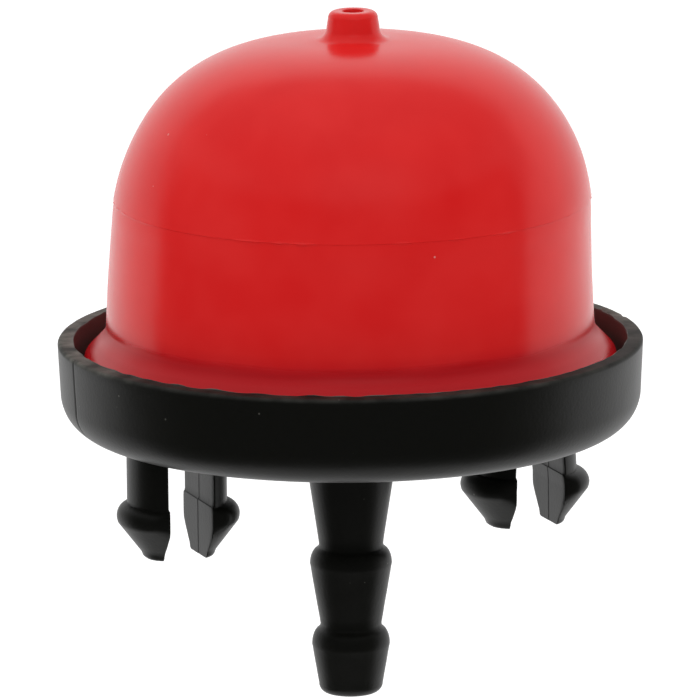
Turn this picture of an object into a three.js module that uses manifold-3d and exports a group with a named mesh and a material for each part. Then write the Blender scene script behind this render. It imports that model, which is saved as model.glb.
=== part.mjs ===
// Squeeze primer bulb: a rubber dome that stands in a black plastic cup with a hose barb and snap legs.
// Millimetres, +Z up along the bulb. The origin is the centre of the cup's flat underside, which is the
// face that seats on the panel. The two pairs of snap legs stand on the X axis.
import * as THREE from 'three';
import { mergeVertices } from 'three/addons/utils/BufferGeometryUtils.js';
import Module from 'manifold-3d';

const wasm = await Module();
wasm.setup();

// Cup
const rimDiameter = 38.1; // across the top of the rim
const rimHeight = 5.9; // from the seat to the top of the rim
const rimWall = 1.05;
const rimDraw = 0.15; // how far the outer wall draws in on its way down
const rimEdge = 0.25; // rounding of the rim's outer top edge
const lowerRound = 2.5; // curve between the outer wall and the flat underside
const floorThickness = 1.5;
const floorCorner = 0.6; // curve between the floor and the inside of the rim

// Bulb, with heights from the cup's floor
const domeFootRadius = 15.88; // outside of the wall where it leaves the foot
const domeFootHeight = 5.5;
const domeDraw = 0.33; // how far the wall draws in from the foot to the shoulder
const shoulderHeight = 12.25;
const crownHeight = 24.05;
const crownRoundness = 1.9; // exponent of the shoulder curve along the height
const crownFlatness = 3.06; // exponent of the shoulder curve along the radius
const bulbWall = 1.5;
const beadClearance = 0.65; // between the foot's bead and the inside of the rim
const beadRound = 0.7;
const footFillet = 1.5; // hollow between the wall and the sloping top of the bead
const footSlope = Math.PI / 4;
const footChamfer = 0.3;

// Nipple on the crown, with the vent hole that a finger covers
const nippleHeight = 1.88;
const nippleRadius = 1.62;
const nippleFlare = 0.1; // how much wider the nipple is at its base
const nippleFillet = 0.8;
const nippleEdge = 0.45;
const ventDiameter = 1.35;

// Hose barb, with depths below the seat
const neckRadius = 3.29; // at the seat
const boreDiameter = 2.2;
const barbs = [
  { depth: 8.16, rootRadius: 2.09, lipRadius: 2.69, lipDrop: 1.05 },
  { depth: 13.52, rootRadius: 2.0, lipRadius: 2.54, lipDrop: 1.0 },
];
const tipDepth = 17.9;
const tipRadius = 2.05;
const tipRound = 0.6;

// Snap studs: each is a round peg split by a slot into two legs with a hooked head
const studPitch = 24.3; // between the two studs' axes
const studDiameter = 6.5;
const slotWidth = 3.0;
const headPad = 0.1; // how far a head stands into the slot past its leg
const hookDepth = 4.85; // from the seat to the widest part of the hook
const hookReach = 0.85; // how far the hook stands out past the leg
const hookRise = 0.85; // height of the rounded ledge above the widest part
const headOffset = 0.57; // from the stud's axis to the axis of each head's cone
const headHalfWidth = 2.95; // the cone is cut flat at the front and back
const headLength = 2.77; // from the widest part to the tip
const headTaper = 0.76; // fall in radius for each millimetre of depth
const hookRound = 0.4; // height of the rounding under the widest part
const hookLead = 0.08; // how far the hook falls back over that rounding
const headTipRound = 0.35;

const rimRadius = rimDiameter / 2;
const lowerRadius = rimRadius - rimDraw;
const cupRadius = rimRadius - rimWall;
const ventRadius = ventDiameter / 2;
const boreRadius = boreDiameter / 2;
const studRadius = studDiameter / 2;

const cupSegments = 64;
const domeSegments = 56;
const barbSegments = 32;
const studSegments = 28;

const point = (x, y) => new THREE.Vector2(x, y);

// Points along an arc, or along a part of an ellipse where a second radius is given.
function arc(cx, cy, rx, from, to, steps, ry = rx) {
  const points = [];
  for (let i = 0; i <= steps; i++) {
    const angle = from + ((to - from) * i) / steps;
    points.push(point(cx + rx * Math.cos(angle), cy + ry * Math.sin(angle)));
  }
  return points;
}

// Turns an outline of radius and height about the Z axis. The outline runs anticlockwise.
function revolve(outline, segments) {
  const geometry = new THREE.LatheGeometry(outline, segments);
  geometry.rotateX(Math.PI / 2);
  return weld(geometry);
}

function weld(geometry) {
  const bare = geometry.index ? geometry.toNonIndexed() : geometry;
  bare.deleteAttribute('normal');
  bare.deleteAttribute('uv');
  return mergeVertices(bare, 1e-5);
}

function toSolid(geometry) {
  return new wasm.Manifold(new wasm.Mesh({
    numProp: 3,
    vertProperties: Float32Array.from(geometry.attributes.position.array),
    triVerts: Uint32Array.from(geometry.index.array),
  }));
}

function toGeometry(solid) {
  const mesh = solid.getMesh();
  const geometry = new THREE.BufferGeometry();
  geometry.setAttribute('position', new THREE.BufferAttribute(mesh.vertProperties, 3));
  geometry.setIndex(new THREE.BufferAttribute(mesh.triVerts, 1));
  geometry.computeVertexNormals();
  return geometry;
}

// Shoulder and crown: a superellipse from the top of the wall to a given radius near the axis.
function crownCurve(radius, height, endRadius, steps) {
  const end = Math.acos(Math.pow(endRadius / radius, crownFlatness / 2));
  const points = [];
  for (let i = 0; i <= steps; i++) {
    const t = (end * i) / steps;
    const x = radius * Math.pow(Math.cos(t), 2 / crownFlatness);
    const y = shoulderHeight + height * Math.pow(Math.sin(t), 2 / crownRoundness);
    points.push(point(x, y));
  }
  return points;
}

// Bead at the foot, its sloping top and the hollow under the wall, from the bottom up.
function footOutline() {
  const beadRadius = cupRadius - beadClearance;
  const filletCentre = domeFootRadius + footFillet;
  const filletEnd = point(
    filletCentre - footFillet * Math.cos(footSlope),
    domeFootHeight - footFillet * Math.sin(footSlope),
  );
  const roundCentreX = beadRadius - beadRound;
  const slopeEndX = roundCentreX + beadRound * Math.sin(footSlope);
  const slopeEndY = filletEnd.y - (slopeEndX - filletEnd.x) * Math.tan(footSlope);
  const roundCentreY = slopeEndY - beadRound * Math.cos(footSlope);
  return [
    point(beadRadius - footChamfer, 0),
    point(beadRadius, footChamfer),
    ...arc(roundCentreX, roundCentreY, beadRound, 0, Math.PI / 2 - footSlope, 3),
    ...arc(filletCentre, domeFootHeight, footFillet, Math.PI + footSlope, Math.PI, 3),
  ];
}

// Nipple from its fillet on the crown up to the rim of the vent hole.
function nippleOutline(top) {
  const base = top - nippleHeight;
  const baseRadius = nippleRadius + nippleFlare;
  return [
    ...arc(baseRadius + nippleFillet, base + nippleFillet, nippleFillet, 1.5 * Math.PI, Math.PI, 3),
    ...arc(nippleRadius - nippleEdge, top - nippleEdge, nippleEdge, 0, Math.PI / 2, 3),
    point(ventRadius, top),
  ];
}

function bulbGeometry() {
  const wallTop = domeFootRadius - domeDraw;
  const crown = crownHeight - shoulderHeight;
  const flareRadius = nippleRadius + nippleFlare + nippleFillet;
  const outer = crownCurve(wallTop, crown, flareRadius, 13);
  const inner = crownCurve(wallTop - bulbWall, crown - bulbWall, ventRadius, 8).reverse();
  const outline = [
    ...footOutline(),
    ...outer.slice(0, -1),
    ...nippleOutline(crownHeight + nippleHeight),
    ...inner,
    point(domeFootRadius - bulbWall, domeFootHeight),
    point(domeFootRadius - bulbWall, 0),
  ];
  outline.push(outline[0].clone());
  return revolve(outline, domeSegments);
}

// Round cup with its flat underside at height 0, closed on the axis.
function cupSolid() {
  const quarter = Math.PI / 2;
  const outline = [
    point(0, 0),
    ...arc(lowerRadius - lowerRound, lowerRound, lowerRound, -quarter, 0, 8),
    ...arc(rimRadius - rimEdge, rimHeight - rimEdge, rimEdge, 0, quarter, 3),
    point(cupRadius, rimHeight),
    ...arc(cupRadius - floorCorner, floorThickness + floorCorner, floorCorner, 0, -quarter, 3),
    point(0, floorThickness),
  ];
  return toSolid(revolve(outline, cupSegments));
}

// Tapered neck and two barbs, from the tip up into the cup's floor.
function barbSolid() {
  const quarter = Math.PI / 2;
  const outline = [point(0, -tipDepth)];
  outline.push(...arc(tipRadius - tipRound, -tipDepth + tipRound, tipRound, -quarter, 0, 4));
  for (const barb of [...barbs].reverse()) {
    const reach = barb.lipRadius - barb.rootRadius;
    const lip = -barb.depth - barb.lipDrop;
    outline.push(...arc(barb.rootRadius, lip, reach, 0, quarter, 5, barb.lipDrop));
  }
  outline.push(point(neckRadius, 0), point(neckRadius, floorThickness / 2), point(0, floorThickness / 2));
  return toSolid(revolve(outline, barbSegments));
}

function boreSolid() {
  const run = tipDepth + floorThickness;
  const margin = floorThickness;
  const geometry = new THREE.CylinderGeometry(boreRadius, boreRadius, run + 2 * margin, barbSegments);
  geometry.rotateX(Math.PI / 2);
  geometry.translate(0, 0, run / 2 - tipDepth);
  return toSolid(weld(geometry));
}

// Cone of one leg's head, about its own axis, with the rounded ledge on top and a blunt tip.
function headOutline() {
  const legRadius = studRadius - headOffset;
  const hookRadius = legRadius + hookReach;
  const tipDepthBelow = hookDepth + headLength;
  const coneTop = hookRadius - hookLead;
  const coneEnd = coneTop - (headLength - hookRound) * headTaper;
  return [
    point(0, -tipDepthBelow),
    point(coneEnd - headTipRound, -tipDepthBelow),
    point(coneEnd + headTipRound * headTaper, -tipDepthBelow + headTipRound),
    point(coneTop, -hookDepth - hookRound),
    point(hookRadius - hookLead / 4, -hookDepth - hookRound / 2),
    ...arc(legRadius, -hookDepth, hookReach, 0, Math.PI / 2, 6, hookRise),
    point(0, -hookDepth + hookRise),
  ];
}

function box(x0, x1, y0, y1, z0, z1) {
  const geometry = new THREE.BoxGeometry(x1 - x0, y1 - y0, z1 - z0);
  geometry.translate((x0 + x1) / 2, (y0 + y1) / 2, (z0 + z1) / 2);
  return toSolid(weld(geometry));
}

// One leg of a stud at the origin: side is 1 for the leg on +X and -1 for the one on -X.
function legSolid(side) {
  const reach = studRadius + hookReach + headOffset;
  const legEnd = -hookDepth;
  const ledgeTop = -hookDepth + hookRise;
  const headEnd = -hookDepth - headLength;
  const peg = new THREE.CylinderGeometry(studRadius, studRadius, hookDepth + floorThickness / 2, studSegments);
  peg.rotateX(Math.PI / 2);
  peg.translate(0, 0, (legEnd + floorThickness / 2) / 2);
  const faces = [slotWidth / 2, slotWidth / 2 - headPad];
  const keepLeg = box(faces[0], reach, -reach, reach, legEnd, floorThickness);
  const keepHead = box(faces[1], reach, -headHalfWidth, headHalfWidth, headEnd, ledgeTop);
  const head = toSolid(revolve(headOutline(), studSegments)).translate([headOffset, 0, 0]);
  const leg = toSolid(weld(peg)).intersect(keepLeg).add(head.intersect(keepHead));
  return side > 0 ? leg : leg.mirror([1, 0, 0]);
}

function studSolid() {
  return legSolid(1).add(legSolid(-1));
}

function baseGeometry() {
  const stud = studSolid();
  let base = cupSolid().add(barbSolid());
  for (const side of [-1, 1]) {
    base = base.add(stud.translate([(side * studPitch) / 2, 0, 0]));
  }
  return toGeometry(base.subtract(boreSolid()));
}

function makeMesh(name, geometry, color, roughness) {
  const material = new THREE.MeshStandardMaterial({ color, roughness, metalness: 0 });
  const mesh = new THREE.Mesh(geometry, material);
  mesh.name = name;
  return mesh;
}

const primerBulb = new THREE.Group();
const base = makeMesh('base', baseGeometry(), 0x15150f, 0.5);
const bulb = makeMesh('bulb', bulbGeometry(), 0xc41a18, 0.3);
bulb.position.z = floorThickness; // the foot stands on the cup's floor
primerBulb.add(base, bulb);

export default primerBulb;
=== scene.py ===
# Squeeze primer bulb: glossy red rubber dome in a black moulded cup with a hose barb and snap legs.
# Lengths in the dictionaries are millimetres and angles are degrees. The frame is the CAD part's own.
import math

import bmesh
import bpy
from mathutils import Matrix, Vector, noise


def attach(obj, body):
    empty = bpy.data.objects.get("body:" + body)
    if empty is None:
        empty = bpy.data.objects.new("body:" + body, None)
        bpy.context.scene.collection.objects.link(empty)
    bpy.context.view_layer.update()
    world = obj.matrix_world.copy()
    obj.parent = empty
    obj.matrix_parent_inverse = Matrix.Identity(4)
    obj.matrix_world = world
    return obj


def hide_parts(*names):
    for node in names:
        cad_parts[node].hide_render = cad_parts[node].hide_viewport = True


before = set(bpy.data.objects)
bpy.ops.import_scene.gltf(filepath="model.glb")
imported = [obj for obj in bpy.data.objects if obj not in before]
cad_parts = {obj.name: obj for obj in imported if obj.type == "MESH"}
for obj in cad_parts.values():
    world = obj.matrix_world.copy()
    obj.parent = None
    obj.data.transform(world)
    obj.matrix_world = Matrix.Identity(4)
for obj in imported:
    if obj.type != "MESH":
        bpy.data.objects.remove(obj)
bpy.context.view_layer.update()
mm = 0.001


# Camera, world and lamps

view = {
    "distance": 600.0,       # from the target to the lens
    "elevation": 12.25,
    "turn": 20.3,            # brings the left pair of legs nearer to the camera
    "roll": 0.5,
    "targetHeight": 5.0,
    "lens": 474.0,
    "sensor": 36.0,
    "shiftX": -0.0006,
}


def makeCamera():
    turn, lift = math.radians(view["turn"]), math.radians(view["elevation"])
    away = Vector((math.sin(turn) * math.cos(lift), math.cos(turn) * math.cos(lift), -math.sin(lift)))
    data = bpy.data.cameras.new("studioCamera")
    data.lens = view["lens"]
    data.sensor_width = view["sensor"]
    data.sensor_fit = "HORIZONTAL"
    data.shift_x = view["shiftX"]
    data.clip_start = 0.01
    data.clip_end = 20.0
    camera = bpy.data.objects.new("studioCamera", data)
    bpy.context.scene.collection.objects.link(camera)
    target = Vector((0, 0, view["targetHeight"] * mm))
    camera.location = target - away * view["distance"] * mm
    spin = Matrix.Rotation(math.radians(-view["roll"]), 4, "Z")
    aim = away.to_track_quat("-Z", "Y").to_matrix().to_4x4()
    camera.matrix_world = Matrix.Translation(camera.location) @ aim @ spin
    bpy.context.scene.camera = camera
    print("camera set")


studio = {
    "worldFill": 0.56,       # strength of the room's light
    "frontShine": 0.5,       # what shiny faces see of the room in front and overhead
    "backShine": 1.0,        # and of the white sweep behind the part
    "shineTilt": 0.68,       # how the edge between the two falls back with height
    "shineSide": 0.12,       # and how it stands further back on the left
    "shineEdge": (0.08, 0.17),
    "floorDrop": 62.0,       # floor below the seat
    "floorSize": 4000.0,
    "floorColor": (0.86, 0.86, 0.86, 1),
    "floorLift": 0.5,        # added to what the camera and shiny faces see, so the open floor is white
    "cardStart": 45.0,       # dark card in front, on the floor and then upright, seen only by reflections
    "cardAway": 160.0,
    "cardTop": 92.0,
    "cardSpread": (88.0, 100.0),   # to the right and to the left of the camera
    "cardTone": 0.02,
}
# Each lamp: place, width and height, power in watts, whether shiny faces show it
lamps = {
    "topBox": ((-40, 120, 700), (900, 900), 1.6, False),
    "leftBox": ((-600, 120, 160), (600, 600), 0.42, False),
    "rightBox": ((600, -60, 160), (600, 600), 0.5, False),
    "frontBox": ((-150, -560, 420), (500, 400), 0.5, False),
}


def makeWorld():
    world = bpy.data.worlds.new("whiteRoom")
    bpy.context.scene.world = world
    world.use_nodes = True
    nodes, links = world.node_tree.nodes, world.node_tree.links
    nodes.clear()
    out = nodes.new("ShaderNodeOutputWorld")
    fill = nodes.new("ShaderNodeBackground")
    fill.inputs["Color"].default_value = (1, 1, 1, 1)
    fill.inputs["Strength"].default_value = studio["worldFill"]
    seen = nodes.new("ShaderNodeBackground")
    seen.inputs["Color"].default_value = (1, 1, 1, 1)
    seen.inputs["Strength"].default_value = 1.0
    turn = math.radians(view["turn"])
    place = nodes.new("ShaderNodeTexCoord")
    behind = nodes.new("ShaderNodeVectorMath")
    behind.operation = "DOT_PRODUCT"
    side = studio["shineSide"]
    behind.inputs[1].default_value = (
        math.sin(turn) + side * math.cos(turn), math.cos(turn) - side * math.sin(turn), -studio["shineTilt"])
    links.new(place.outputs["Generated"], behind.inputs[0])
    edge = nodes.new("ShaderNodeMapRange")
    edge.inputs["From Min"].default_value, edge.inputs["From Max"].default_value = studio["shineEdge"]
    edge.inputs["To Min"].default_value = studio["frontShine"]
    edge.inputs["To Max"].default_value = studio["backShine"]
    links.new(behind.outputs["Value"], edge.inputs["Value"])
    shine = nodes.new("ShaderNodeBackground")
    shine.inputs["Color"].default_value = (1, 1, 1, 1)
    links.new(edge.outputs["Result"], shine.inputs["Strength"])
    path = nodes.new("ShaderNodeLightPath")
    first, last = nodes.new("ShaderNodeMixShader"), nodes.new("ShaderNodeMixShader")
    links.new(path.outputs["Is Glossy Ray"], first.inputs[0])
    links.new(fill.outputs[0], first.inputs[1])
    links.new(shine.outputs[0], first.inputs[2])
    links.new(path.outputs["Is Camera Ray"], last.inputs[0])
    links.new(first.outputs[0], last.inputs[1])
    links.new(seen.outputs[0], last.inputs[2])
    links.new(last.outputs[0], out.inputs["Surface"])


def areaLamp(name, place, size, power, shown):
    data = bpy.data.lights.new(name, "AREA")
    data.shape = "RECTANGLE"
    data.size, data.size_y = size[0] * mm, size[1] * mm
    data.energy = power
    lamp = bpy.data.objects.new(name, data)
    bpy.context.scene.collection.objects.link(lamp)
    lamp.location = Vector(place) * mm
    aim = Vector((0, 0, 8 * mm)) - lamp.location
    lamp.rotation_euler = aim.to_track_quat("-Z", "Y").to_euler()
    lamp.visible_glossy = shown


def flatPanel(name, width, height):
    w, h = width * mm / 2, height * mm / 2
    mesh = bpy.data.meshes.new(name)
    mesh.from_pydata([(-w, -h, 0), (w, -h, 0), (w, h, 0), (-w, h, 0)], [], [(0, 1, 2, 3)])
    panel = bpy.data.objects.new(name, mesh)
    bpy.context.scene.collection.objects.link(panel)
    return panel


def makeFloor():
    floor = flatPanel("paleFloor", studio["floorSize"], studio["floorSize"])
    floor.location.z = -studio["floorDrop"] * mm
    material = bpy.data.materials.new("paleFloor")
    material.use_nodes = True
    nodes, links = material.node_tree.nodes, material.node_tree.links
    shader = nodes["Principled BSDF"]
    shader.inputs["Base Color"].default_value = studio["floorColor"]
    shader.inputs["Roughness"].default_value = 0.9
    shader.inputs["Specular IOR Level"].default_value = 0.0
    path = nodes.new("ShaderNodeLightPath")
    either, lift = nodes.new("ShaderNodeMath"), nodes.new("ShaderNodeMath")
    either.operation, lift.operation = "MAXIMUM", "MULTIPLY"
    links.new(path.outputs["Is Camera Ray"], either.inputs[0])
    links.new(path.outputs["Is Glossy Ray"], either.inputs[1])
    links.new(either.outputs[0], lift.inputs[0])
    lift.inputs[1].default_value = studio["floorLift"]
    shader.inputs["Emission Color"].default_value = (1, 1, 1, 1)
    links.new(lift.outputs[0], shader.inputs["Emission Strength"])
    floor.data.materials.append(material)


def makeCard():
    steps, (right, left) = 24, studio["cardSpread"]
    floor = 1 - studio["floorDrop"]
    rows = [(studio["cardStart"], floor), (studio["cardAway"], floor), (studio["cardAway"], studio["cardTop"])]
    front = math.radians(270 - view["turn"])
    points, faces = [], []
    for i in range(steps + 1):
        a = front + math.radians((left + right) * i / steps - left)
        points += [(r * math.cos(a) * mm, r * math.sin(a) * mm, z * mm) for r, z in rows]
    for i in range(steps):
        for k in (0, 1):
            faces.append((3 * i + k, 3 * i + k + 3, 3 * i + k + 4, 3 * i + k + 1))
    mesh = bpy.data.meshes.new("darkCard")
    mesh.from_pydata(points, [], faces)
    card = bpy.data.objects.new("darkCard", mesh)
    bpy.context.scene.collection.objects.link(card)
    card.visible_camera = False
    card.visible_diffuse = False
    card.visible_shadow = False
    card.visible_transmission = False
    material = bpy.data.materials.new("darkCard")
    material.use_nodes = True
    tone = studio["cardTone"]
    shader = material.node_tree.nodes["Principled BSDF"]
    shader.inputs["Base Color"].default_value = (tone, tone, tone, 1)
    shader.inputs["Specular IOR Level"].default_value = 0.0
    mesh.materials.append(material)


def makeStudio():
    makeCamera()
    makeWorld()
    makeFloor()
    makeCard()
    for name, (place, size, power, shown) in lamps.items():
        areaLamp(name, place, size, power, shown)
    bpy.context.scene.view_settings.view_transform = "Standard"
    print("studio set")


# Meshes from outlines turned about the Z axis

def arcPoints(cx, cz, rx, start, stop, steps, rz=None):
    rz = rx if rz is None else rz
    found = []
    for i in range(steps + 1):
        a = math.radians(start + (stop - start) * i / steps)
        found.append((cx + rx * math.cos(a), cz + rz * math.sin(a)))
    return found


def spread(points, longest):
    # Adds points along the long stretches of an outline, so that shape changes have something to move.
    found = [points[0]]
    for a, b in zip(points, points[1:]):
        steps = max(1, math.ceil(math.dist(a, b) / longest))
        for i in range(1, steps + 1):
            found.append((a[0] + (b[0] - a[0]) * i / steps, a[1] + (b[1] - a[1]) * i / steps))
    return found


def turnAngles(count, seams=()):
    found = [360.0 * i / count for i in range(count)]
    for seam in seams:
        found = [a for a in found if abs((a - seam + 180) % 360 - 180) > 1.2]
        found += [(seam + d) % 360 for d in (-0.9, -0.35, -0.12, 0.12, 0.35, 0.9)]
    return sorted(found)


def turnedMesh(name, outline, angles, shape):
    # Turns a closed outline about the Z axis. shape moves each point and gives its sideways shift.
    points, faces = [], []
    n, m = len(angles), len(outline)
    for angle in angles:
        a = math.radians(angle)
        for r, z in outline:
            r2, z2, dx, dy = shape(r, z, angle)
            points.append(((r2 * math.cos(a) + dx) * mm, (r2 * math.sin(a) + dy) * mm, z2 * mm))
    for i in range(n):
        j = (i + 1) % n
        for k in range(m):
            l = (k + 1) % m
            faces.append((i * m + k, j * m + k, j * m + l, i * m + l))
    mesh = bpy.data.meshes.new(name)
    mesh.from_pydata(points, [], faces)
    return mesh


def addPiece(name, mesh, sharp):
    shape = bmesh.new()
    shape.from_mesh(mesh)
    bmesh.ops.remove_doubles(shape, verts=shape.verts, dist=1e-7)
    bmesh.ops.recalc_face_normals(shape, faces=shape.faces)
    shape.to_mesh(mesh)
    shape.free()
    for face in mesh.polygons:
        face.use_smooth = True
    mesh.set_sharp_from_angle(angle=math.radians(sharp))
    piece = bpy.data.objects.new(name, mesh)
    bpy.context.scene.collection.objects.link(piece)
    return piece


def ripple(angle, speed, seed, z=0.0):
    # Smooth noise from about -1 to 1 that closes on itself round the part.
    a = math.radians(angle)
    return noise.noise(Vector((math.cos(a) * speed, math.sin(a) * speed, seed + z))) * 1.8


def apart(angle, centre):
    return (angle - centre + 180) % 360 - 180


def bell(x, width):
    return math.exp(-(x / width) ** 2)


# Rubber bulb, with heights from the seat

bulb = {
    "footHeight": 1.5,       # the cup's floor, where the bulb stands
    "beadRadius": 17.35,
    "beadRound": 0.7,
    "footChamfer": 0.3,
    "wallFoot": 15.88,
    "wallFootHeight": 7.0,
    "wallTop": 15.55,
    "hollow": 1.5,           # radius of the hollow over the bead
    "shoulder": 13.75,
    "crown": 25.55,
    "roundness": 1.9,
    "flatness": 3.06,
    "wall": 1.5,
    "nippleTop": 27.43,
    "nippleRadius": 1.62,
    "nippleFlare": 0.1,
    "nippleFillet": 0.8,
    "nippleEdge": 0.45,
    "ventRadius": 0.675,
    "ventLip": 0.09,
    "partingHeight": 15.15,
    "partingStep": 0.075,
    "flashAngles": (         # each fleck on the parting line: angle, width in degrees, height
        (226, 1.5, 0.10), (232, 1.1, 0.13), (237.5, 1.4, 0.10), (262, 1.0, 0.06), (288, 1.6, 0.07)),
    "lean": 0.35,            # the soft dome leans a little to one side
    "leanTo": -20.3,
    "columns": 256,
}


def crownPoints(radius, height, endRadius, steps):
    end = math.acos((endRadius / radius) ** (bulb["flatness"] / 2))
    found = []
    for i in range(steps + 1):
        t = end * (i / steps) ** 1.15
        x = radius * math.cos(t) ** (2 / bulb["flatness"])
        found.append((x, bulb["shoulder"] + height * math.sin(t) ** (2 / bulb["roundness"])))
    return found


def bulbOutline():
    foot, bead, round1 = bulb["footHeight"], bulb["beadRadius"], bulb["beadRound"]
    slope = math.radians(45)
    filletX = bulb["wallFoot"] + bulb["hollow"]
    endX = filletX - bulb["hollow"] * math.cos(slope)
    endZ = bulb["wallFootHeight"] - bulb["hollow"] * math.sin(slope)
    slopeX = bead - round1 + round1 * math.sin(slope)
    slopeZ = endZ - (slopeX - endX) * math.tan(slope)
    roundZ = slopeZ - round1 * math.cos(slope)
    crown = bulb["crown"] - bulb["shoulder"]
    flare = bulb["nippleRadius"] + bulb["nippleFlare"]
    fillet, edge, vent, top = bulb["nippleFillet"], bulb["nippleEdge"], bulb["ventRadius"], bulb["nippleTop"]
    outer = [(bead - bulb["footChamfer"], foot)]
    outer += [(bead, foot + bulb["footChamfer"])]
    outer += arcPoints(bead - round1, roundZ, round1, 0, 45, 8)
    outer += arcPoints(filletX, bulb["wallFootHeight"], bulb["hollow"], 225, 180, 10)
    outer += crownPoints(bulb["wallTop"], crown, flare + fillet, 56)[:-1]
    nippleBase = bulb["crown"]
    outer += arcPoints(flare + fillet, nippleBase + fillet, fillet, 270, 180, 8)
    outer += arcPoints(bulb["nippleRadius"] - edge, top - edge, edge, 0, 90, 7)
    lip = bulb["ventLip"]
    outer += [(vent + lip, top), (vent + lip * 0.3, top - lip * 0.3), (vent, top - lip)]
    inner = crownPoints(bulb["wallTop"] - bulb["wall"], crown - bulb["wall"], vent, 20)
    inner.reverse()
    insideFoot = bulb["wallFoot"] - bulb["wall"]
    inner += [(insideFoot, bulb["wallFootHeight"]), (insideFoot, foot)]
    line = bulb["partingHeight"]
    outline = spread(outer, 0.45)
    outline = [p for p in outline if p[0] < 10 or abs(p[1] - line) > 0.22] + inner
    spot = next(i for i, p in enumerate(outline) if p[1] > line)
    below, above = outline[spot - 1], outline[spot]
    rows = []
    for dz in (-0.2, -0.1, -0.045, -0.01, 0.02, 0.06, 0.12, 0.2):
        u = (line + dz - below[1]) / (above[1] - below[1])
        rows.append((below[0] + (above[0] - below[0]) * u, line + dz))
    return outline[:spot] + rows + outline[spot:]


def bulbShape(r, z, angle):
    line = bulb["partingHeight"]
    outside = r > 13.2 and z > 8
    if outside:
        rise = z - line
        wave = ripple(angle, 2.2, 3.0)
        if rise > 0:
            r += bulb["partingStep"] * (0.75 + 0.35 * wave) * math.exp(-rise / 2.4)
        flash = max(0.0, ripple(angle, 17.0, 8.0) - 0.15) * 0.09
        for centre, width, high in bulb["flashAngles"]:
            flash += high * bell(apart(angle, centre), width)
        r += flash * bell(rise - 0.01, 0.05)
        r += 0.012 * ripple(angle, 3.0, 21.0, z * 0.35)
    if r > 15.5 and z < 7:
        r += 0.02 * ripple(angle, 5.0, 33.0, z * 0.5)
        r = min(r, bulb["beadRadius"])
    u = min(1.0, max(0.0, (z - 8.0) / 13.0))
    shift = bulb["lean"] * u * u * (3 - 2 * u)
    to = math.radians(bulb["leanTo"])
    return r, z, shift * math.cos(to), shift * math.sin(to)


def makeBulb():
    mesh = turnedMesh("rubberBulb", bulbOutline(), turnAngles(bulb["columns"]), bulbShape)
    piece = addPiece("rubberBulb", mesh, 42)
    piece.data.materials.append(rubberMaterial())
    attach(piece, "root")
    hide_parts("bulb")
    print("rubberBulb", len(mesh.polygons), "faces")


# Plastic cup with its hose barb, with heights from the seat

cup = {
    "rimRadius": 19.05,
    "rimHeight": 5.9,
    "rimWall": 1.05,
    "rimDraw": 0.15,
    "rimEdge": 0.25,
    "lowerRound": 2.5,
    "floor": 1.5,
    "floorCorner": 0.6,
    "seamAngles": (0.0, 180.0),
    "seamGroove": 0.05,
    "burrRise": 0.07,
    "burrWave": 0.05,
    "notchAngle": 358.2,
    "notchDepth": 0.28,
    "flashAngles": ((8.4, 1.0, 0.18), (5.6, 0.8, 0.1), (3.4, 0.75, 0.26), (0.9, 0.6, 0.14)),
    "columns": 312,
}
barb = {
    "neckRadius": 3.29,
    "neckFillet": 0.3,
    "boreRadius": 1.1,
    "upper": (8.16, 2.09, 2.69, 1.05),    # depth, root radius, lip radius, drop of the rounded ledge
    "lower": (13.52, 2.0, 2.55, 1.12),
    "tipDepth": 17.9,
    "tipRadius": 2.1,
    "tipRound": 0.65,
    "lean": 0.16,            # how far the tip is bent to one side
    "leanTo": 159.7,
}


def cupOutline():
    rim, top, edge = cup["rimRadius"], cup["rimHeight"], cup["rimEdge"]
    low, inside = rim - cup["rimDraw"], cup["rimRadius"] - cup["rimWall"]
    tip, tipR, tipRound = barb["tipDepth"], barb["tipRadius"], barb["tipRound"]
    points = [(barb["boreRadius"] + 0.08, -tip)]
    points += arcPoints(tipR - tipRound, -tip + tipRound, tipRound, -90, 0, 8)
    for depth, root, lip, drop in (barb["lower"], barb["upper"]):
        points += [(lip - 0.03, -depth - drop - 0.12)]
        points += arcPoints(root, -depth - drop, lip - root, 0, 78, 8, drop)
        points += [(root + 0.05, -depth + 0.05), (root, -depth + 0.25)]
    fillet = barb["neckFillet"]
    points += [(barb["neckRadius"] - 0.03, -fillet)]
    points += arcPoints(barb["neckRadius"] + fillet, -fillet, fillet, 180, 90, 4)[1:]
    points += arcPoints(low - cup["lowerRound"], cup["lowerRound"], cup["lowerRound"], -90, 0, 18)
    points += arcPoints(rim - edge, top - edge, edge, 0, 90, 6)
    points += [(inside + d, top) for d in (0.45, 0.2, 0.12, 0.07, 0.03)]
    points += [(inside, top - 0.05), (inside, top - 0.16)]
    corner = cup["floorCorner"]
    points += arcPoints(inside - corner, cup["floor"] + corner, corner, 0, -90, 5)
    points += [(barb["boreRadius"], cup["floor"]), (barb["boreRadius"], -tip + 0.08)]
    return spread(points, 0.62)


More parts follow.
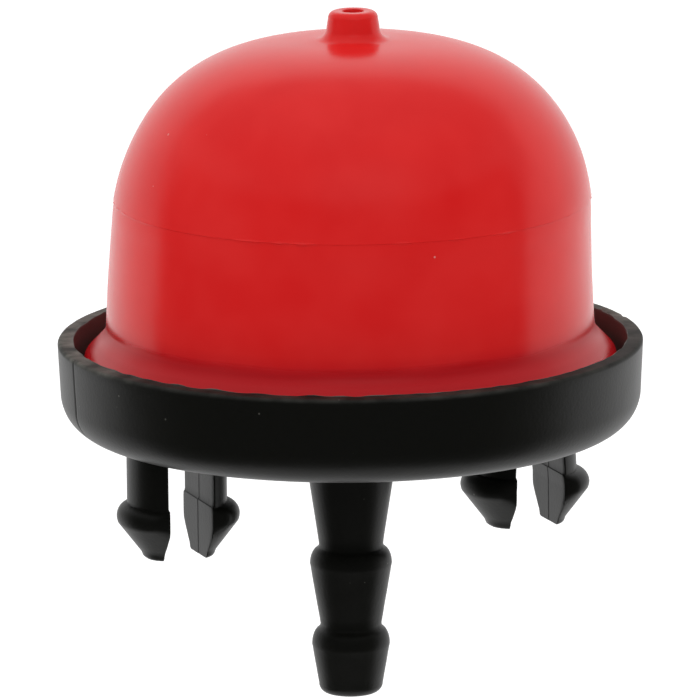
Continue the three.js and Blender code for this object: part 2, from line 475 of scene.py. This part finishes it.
def cupShape(r, z, angle):
    top, inside = cup["rimHeight"], cup["rimRadius"] - cup["rimWall"]
    if z > top - 0.3 and r > inside - 0.1:
        u = (r - inside) / cup["rimWall"]
        rough = ripple(angle, 6.0, 1.0) * 0.6 + ripple(angle, 23.0, 2.0) * 0.4
        z += 0.018 * rough
        burr = bell(r - inside - 0.045, 0.035) * max(0.0, 0.55 + ripple(angle, 14.0, 5.0))
        z += cup["burrRise"] * burr * (z > top - 0.1)
        if u < 0.2:
            r += cup["burrWave"] * (0.6 * ripple(angle, 9.0, 7.0) + 0.5 * ripple(angle, 31.0, 9.0))
        if u > 0.55:
            z -= cup["notchDepth"] * bell(apart(angle, cup["notchAngle"]), 0.75) * min(1.0, (u - 0.45) * 2.2)
        for centre, width, high in cup["flashAngles"]:
            z += high * bell(apart(angle, centre), width) * bell(u - 0.3, 0.25) * (z > top - 0.15)
    if r > 15.5 and z > 0.3 and z < top - 0.02 and r > inside + 0.3:
        for seam in cup["seamAngles"]:
            off = apart(angle, seam)
            r -= cup["seamGroove"] * bell(off, 0.22) + 0.012 * (0 < off < 30) * math.exp(-off / 9)
        r += 0.006 * ripple(angle, 8.0, 12.0, z)
        r = min(r, cup["rimRadius"])
    if z < -7 and r > 1.6:
        r += 0.012 * ripple(angle, 1.6, 41.0, z * 1.5)
    shift, to = barb["lean"] * max(0.0, -z) / barb["tipDepth"], math.radians(barb["leanTo"])
    return r, z, shift * math.cos(to), shift * math.sin(to)


studs = {
    "pitch": 24.3,
    "radius": 3.25,
    "slot": 1.5,             # half width
    "mouldStep": 0.02,       # between the two halves of a slot face
    "outerFlat": 3.25,
    "hookDepth": 4.85,
    "hookReach": 0.85,
    "hookRise": 0.85,
    "headOffset": 0.57,
    "headHalfWidth": 2.95,
    "leftShift": 0.07,       # the left stud stands a little nearer to the middle
    "headLength": 2.77,
    "headTaper": 0.76,
    "hookRound": 0.4,
    "hookLead": 0.08,
    "tipRound": 0.35,
    "legCentre": 2.35,       # from the stud's axis to the middle of a leg
    "edgeSharpness": 26,     # a lower number rounds the edges of the slot faces
    "columns": 76,
}
# Each leg: stud side, leg side, bend outwards at the hook, how much the hook falls short, pad on the head
legs = {
    "legA": (-1, -1, 0.0, 0.14, 0.1),
    "legB": (-1, 1, 0.0, 0.0, 0.1),
    "legC": (1, -1, 0.22, 0.02, 0.1),
    "legD": (1, 1, 0.24, 0.03, 0.1),
}


def headRadius(z, short):
    leg = studs["radius"] - studs["headOffset"]
    reach = studs["hookReach"] - short
    below = -studs["hookDepth"] - z
    if below <= 0:
        u = min(1.0, -below / studs["hookRise"])
        return leg + reach * math.sqrt(1 - u * u)
    top = leg + reach - studs["hookLead"]
    if below < studs["hookRound"]:
        u = below / studs["hookRound"]
        return leg + reach - studs["hookLead"] * u * u
    return top - (below - studs["hookRound"]) * studs["headTaper"]


def legMesh(name, studSide, legSide, bend, short, headPad):
    offset, half = studs["headOffset"], studs["headHalfWidth"]
    shift = studSide * studs["pitch"] / 2 + (studs["leftShift"] if studSide < 0 else 0.0)
    sharp, deepest = studs["edgeSharpness"], studs["hookDepth"] + studs["headLength"]
    rows = [0.7, 0.25, 0.0, -0.6, -1.2, -1.8, -2.4, -3.0, -3.5, -3.85, -3.98]
    for a in (88, 82, 75, 66, 56, 45, 33, 20, 8, 0):
        rows.append(-studs["hookDepth"] + studs["hookRise"] * math.sin(math.radians(a)))
    rows += [-studs["hookDepth"] - d for d in (0.1, 0.2, 0.3, 0.4, 0.6, 0.9, 1.2, 1.5, 1.8, 2.1, 2.35)]
    headings = [360.0 * i / studs["columns"] for i in range(studs["columns"])]
    headings = [h for h in headings if abs(h - 180) > 1.5] + [179.3, 179.8, 180.2, 180.7]
    for corner in (108, 252):
        headings += [corner + d for d in (-6, -3.5, -1.5, 0.5, 2, 4.2, 7)]
    for corner in (87, 273):
        headings += [corner + d for d in (-3, -1.2, 1.2, 3)]
    headings = sorted(set(headings))
    rings = [(z, 0.0) for z in rows]
    tip = studs["tipRound"]
    for a in (20, 40, 60, 80, 90):
        turn = math.radians(a)
        rings.append((-deepest + tip - tip * math.sin(turn), tip * (1 - math.cos(turn))))
    points, faces = [], []
    for z, inset in rings:
        head = headRadius(z, short) if z <= -studs["hookDepth"] + studs["hookRise"] else 0.0
        if z < -deepest + tip:
            head = headRadius(-deepest + tip, short)
        depth = max(0.0, -z)
        lean = bend * min(1.0, depth / studs["hookDepth"]) ** 1.4
        pad = headPad * min(1.0, max(0.0, (-z - 3.95) / 0.08))
        centre = studs["legCentre"]
        if z < -studs["hookDepth"]:
            centre = min(centre, (studs["slot"] - pad + offset + head) / 2)
        for h in headings:
            c, s = math.cos(math.radians(h)), math.sin(math.radians(h))
            away = 0.0
            if z > -studs["hookDepth"] - 0.001:
                away = -centre * c + math.sqrt(studs["radius"] ** 2 - (centre * s) ** 2)
                if c > 0:
                    away = min(away, (studs["outerFlat"] - centre) / c)
            if head > 0:
                gap = centre - offset
                inside = head * head - (gap * s) ** 2
                if inside > 0:
                    away = max(away, -gap * c + math.sqrt(inside))
                if abs(s) > 0.2:
                    away = (away ** -sharp + (half / abs(s)) ** -sharp) ** (-1 / sharp)
            away = max(0.05, away - inset)
            if c < 0:
                face = studs["slot"] - pad + (studs["mouldStep"] if s * legSide < 0 else 0.0)
                flat = (centre - face) / -c
                away = (away ** -sharp + flat ** -sharp) ** (-1 / sharp)
            x = (centre + away * c + lean) * legSide + shift
            points.append((x * mm, away * s * legSide * mm, z * mm))
    n = len(headings)
    for i in range(len(rings) - 1):
        for k in range(n):
            l = (k + 1) % n
            faces.append((i * n + k, i * n + l, (i + 1) * n + l, (i + 1) * n + k))
    faces.append(tuple(range(n)))
    faces.append(tuple(reversed(range((len(rings) - 1) * n, len(rings) * n))))
    mesh = bpy.data.meshes.new(name)
    mesh.from_pydata(points, [], faces)
    return mesh


def makeBase():
    angles = turnAngles(cup["columns"], cup["seamAngles"])
    piece = addPiece("plasticBase", turnedMesh("plasticBase", cupOutline(), angles, cupShape), 32)
    for name, settings in legs.items():
        leg = addPiece(name, legMesh(name, *settings), 32)
        join = piece.modifiers.new(name, "BOOLEAN")
        join.operation = "UNION"
        join.solver = "EXACT"
        join.object = leg
    bpy.context.view_layer.update()
    whole = bpy.data.meshes.new_from_object(piece.evaluated_get(bpy.context.evaluated_depsgraph_get()))
    piece.modifiers.clear()
    piece.data = whole
    for name in legs:
        bpy.data.objects.remove(bpy.data.objects[name])
    for face in whole.polygons:
        face.use_smooth = True
    whole.set_sharp_from_angle(angle=math.radians(32))
    whole.materials.clear()
    whole.materials.append(plasticMaterial())
    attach(piece, "root")
    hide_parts("base")
    print("plasticBase", len(whole.polygons), "faces")


# Materials

rubber = {
    "color": (0.8, 0.011, 0.011, 1),
    "paler": (0.84, 0.017, 0.016, 1),
    # painted shade: the red is painted darker towards the foot, and darker still in the hollow over the bead
    "footShadeColor": (0.68, 0.003, 0.01, 1),
    "hollowShadeColor": (0.56, 0.001, 0.006, 1),
    "hollowRoughness": 0.1,  # added in the hollow over the bead
    "footShadeFade": (7.9, 6.3),  # heights between which each painted shade comes in
    "hollowTop": (7.3, 6.6),
    "hollowShadeBottom": (5.1, 5.7),
    "dustColor": (0.75, 0.45, 0.42, 1),
    "roughness": 0.24,
    "specular": 0.27,
    "grain": 0.004,
}
plastic = {
    "color": (0.006, 0.0062, 0.0048, 1),
    # light grey on the rim top: partly real scuffs, partly painted sheen of the bright surroundings
    "scuffAndSheen": (0.2, 0.195, 0.17, 1),
    "roughness": 0.4,
    "scuffedRoughness": 0.7,
    "insideColor": (0.11, 0.105, 0.095, 1),
    "insideRadius": 18.06,   # what lies nearer to the axis and over the floor has the inside colour
    "insideBottom": 1.45,
    "scuffSheenFade": (5.6, 5.85),     # heights between which the scuffs and the painted sheen come in
    "wornFrom": (-9, 2),     # painted sheen: the light rim tone is weaker at the front of the rim than at the back
    "streakScale": 620.0,
    "dustColor": (0.2, 0.19, 0.17, 1),
    "specular": 0.22,
    "grain": 0.01,
}


def newGroup(name, numbers, outputs):
    group = bpy.data.node_groups.new(name, "ShaderNodeTree")
    for label, value in numbers.items():
        socket = group.interface.new_socket(label, in_out="INPUT", socket_type="NodeSocketFloat")
        socket.default_value = value
    for label in outputs:
        group.interface.new_socket(label, in_out="OUTPUT", socket_type="NodeSocketFloat")
    start, end = group.nodes.new("NodeGroupInput"), group.nodes.new("NodeGroupOutput")
    place = group.nodes.new("ShaderNodeTexCoord")
    scale = group.nodes.new("ShaderNodeVectorMath")
    scale.operation = "SCALE"
    scale.inputs["Scale"].default_value = 1000
    group.links.new(place.outputs["Object"], scale.inputs[0])
    return group, start, end, scale.outputs[0]


def mathNode(tree, operation, a, b=None, clamp=False):
    node = tree.nodes.new("ShaderNodeMath")
    node.operation = operation
    node.use_clamp = clamp
    for socket, value in ((node.inputs[0], a), (node.inputs[1], b)):
        if value is None:
            continue
        if isinstance(value, (int, float)):
            socket.default_value = value
        else:
            tree.links.new(value, socket)
    return node.outputs[0]


def mouldGrainGroup():
    group, start, end, place = newGroup("mouldGrain", {"Scale": 3.0, "Waves": 0.5}, ["Height", "Mottle"])
    fine = group.nodes.new("ShaderNodeTexNoise")
    fine.inputs["Detail"].default_value = 3.0
    group.links.new(place, fine.inputs["Vector"])
    group.links.new(start.outputs["Scale"], fine.inputs["Scale"])
    broad = group.nodes.new("ShaderNodeTexNoise")
    broad.inputs["Scale"].default_value = 0.22
    broad.inputs["Detail"].default_value = 2.0
    group.links.new(place, broad.inputs["Vector"])
    waves = mathNode(group, "MULTIPLY", broad.outputs["Fac"], start.outputs["Waves"])
    group.links.new(mathNode(group, "ADD", fine.outputs["Fac"], waves), end.inputs["Height"])
    group.links.new(broad.outputs["Fac"], end.inputs["Mottle"])
    return group


def dustGroup():
    group, start, end, place = newGroup("dustSpecks", {"Spacing": 1.0, "Size": 0.05}, ["Mask"])
    cells = group.nodes.new("ShaderNodeTexVoronoi")
    group.links.new(place, cells.inputs["Vector"])
    group.links.new(mathNode(group, "DIVIDE", 1.0, start.outputs["Spacing"]), cells.inputs["Scale"])
    split = group.nodes.new("ShaderNodeSeparateColor")
    group.links.new(cells.outputs["Color"], split.inputs[0])
    rare = mathNode(group, "POWER", split.outputs[0], 6.0)
    size = mathNode(group, "MULTIPLY", rare, start.outputs["Size"])
    inside = mathNode(group, "SUBTRACT", size, cells.outputs["Distance"])
    group.links.new(mathNode(group, "MULTIPLY", inside, 60.0, clamp=True), end.inputs["Mask"])
    return group


def newMaterial(name, settings):
    material = bpy.data.materials.new(name)
    material.use_nodes = True
    shader = material.node_tree.nodes["Principled BSDF"]
    shader.inputs["Specular IOR Level"].default_value = settings["specular"]
    return material, material.node_tree, shader


def useGroup(tree, group, **numbers):
    node = tree.nodes.new("ShaderNodeGroup")
    node.node_tree = group
    for label, value in numbers.items():
        node.inputs[label].default_value = value
    return node


def blendColors(tree, a, b, factor):
    node = tree.nodes.new("ShaderNodeMix")
    node.data_type = "RGBA"
    for socket, value in ((node.inputs[6], a), (node.inputs[7], b)):
        if isinstance(value, tuple):
            socket.default_value = value
        else:
            tree.links.new(value, socket)
    tree.links.new(factor, node.inputs[0])
    return node.outputs[2]


def mapRange(tree, value, low, high, outLow, outHigh):
    node = tree.nodes.new("ShaderNodeMapRange")
    for label, number in (("From Min", low), ("From Max", high), ("To Min", outLow), ("To Max", outHigh)):
        node.inputs[label].default_value = number
    tree.links.new(value, node.inputs["Value"])
    return node.outputs["Result"]


def partAxes(tree):
    # The part's own X, Y and Z in metres, as three outputs.
    place, split = tree.nodes.new("ShaderNodeTexCoord"), tree.nodes.new("ShaderNodeSeparateXYZ")
    tree.links.new(place.outputs["Object"], split.inputs[0])
    return split.outputs


def heightFade(tree, height, ends):
    # Goes from 0 at the first height to 1 at the second.
    return mapRange(tree, height, ends[0] * mm, ends[1] * mm, 0, 1)


def bump(tree, shader, height, depth):
    node = tree.nodes.new("ShaderNodeBump")
    node.inputs["Distance"].default_value = depth * mm
    tree.links.new(height, node.inputs["Height"])
    tree.links.new(node.outputs["Normal"], shader.inputs["Normal"])


def rubberMaterial():
    material, tree, shader = newMaterial("redRubber", rubber)
    grain = useGroup(tree, groups["mouldGrain"], Scale=1.6, Waves=3.0)
    dust = useGroup(tree, groups["dustSpecks"], Spacing=1.3, Size=0.07)
    mottle, specks = grain.outputs["Mottle"], dust.outputs["Mask"]
    height = partAxes(tree)["Z"]
    pale = mapRange(tree, mottle, 0.35, 0.65, 0, 1)
    # painted shade: these masks darken the red towards the foot and in the hollow over the bead
    foot = heightFade(tree, height, rubber["footShadeFade"])
    hollow = heightFade(tree, height, rubber["hollowTop"])
    hollow = mathNode(tree, "MULTIPLY", hollow, heightFade(tree, height, rubber["hollowShadeBottom"]))
    tone = blendColors(tree, rubber["color"], rubber["paler"], pale)
    tone = blendColors(tree, tone, rubber["footShadeColor"], foot)
    tone = blendColors(tree, tone, rubber["hollowShadeColor"], hollow)
    tone = blendColors(tree, tone, rubber["dustColor"], mathNode(tree, "MULTIPLY", specks, 0.5))
    tree.links.new(tone, shader.inputs["Base Color"])
    rough = mapRange(tree, mottle, 0.3, 0.7, rubber["roughness"] - 0.02, rubber["roughness"] + 0.03)
    rough = mathNode(tree, "ADD", rough, mathNode(tree, "MULTIPLY", hollow, rubber["hollowRoughness"]))
    rough = mathNode(tree, "ADD", rough, mathNode(tree, "MULTIPLY", specks, 0.3))
    tree.links.new(rough, shader.inputs["Roughness"])
    bump(tree, shader, grain.outputs["Height"], rubber["grain"])
    return material


def plasticMaterial():
    material, tree, shader = newMaterial("blackPlastic", plastic)
    grain = useGroup(tree, groups["mouldGrain"], Scale=4.5, Waves=1.0)
    dust = useGroup(tree, groups["dustSpecks"], Spacing=0.9, Size=0.09)
    place, axes = tree.nodes.new("ShaderNodeTexCoord"), partAxes(tree)
    streaks = tree.nodes.new("ShaderNodeTexNoise")
    streaks.inputs["Scale"].default_value = plastic["streakScale"]
    streaks.inputs["Detail"].default_value = 5.0
    tree.links.new(place.outputs["Object"], streaks.inputs["Vector"])
    patches = mapRange(tree, streaks.outputs["Fac"], 0.35, 0.7, 0.15, 1)
    # rim top: scuffs in patches plus painted sheen, painted lighter towards the back
    high = heightFade(tree, axes["Z"], plastic["scuffSheenFade"])
    front, back = plastic["wornFrom"]
    worn = mapRange(tree, axes["Y"], front * mm, back * mm, 0.15, 1)
    worn = mathNode(tree, "MULTIPLY", patches, worn)
    worn = mathNode(tree, "MULTIPLY", high, worn, clamp=True)
    acrossX, acrossY = (mathNode(tree, "POWER", axes[k], 2.0) for k in "XY")
    reach = (plastic["insideRadius"] * mm) ** 2
    inside = mathNode(tree, "LESS_THAN", mathNode(tree, "ADD", acrossX, acrossY), reach)
    above = mathNode(tree, "GREATER_THAN", axes["Z"], plastic["insideBottom"] * mm)
    inside = mathNode(tree, "MULTIPLY", inside, above)
    tone = blendColors(tree, plastic["color"], plastic["scuffAndSheen"], worn)
    tone = blendColors(tree, tone, plastic["insideColor"], inside)
    specks = mathNode(tree, "MULTIPLY", dust.outputs["Mask"], 0.35)
    tone = blendColors(tree, tone, plastic["dustColor"], specks)
    tree.links.new(tone, shader.inputs["Base Color"])
    dull = mathNode(tree, "MAXIMUM", high, inside)
    rough = mapRange(tree, dull, 0, 1, plastic["roughness"], plastic["scuffedRoughness"])
    tree.links.new(rough, shader.inputs["Roughness"])
    bump(tree, shader, grain.outputs["Height"], plastic["grain"])
    return material


groups = {"mouldGrain": mouldGrainGroup(), "dustSpecks": dustGroup()}
makeStudio()
makeBulb()
makeBase()
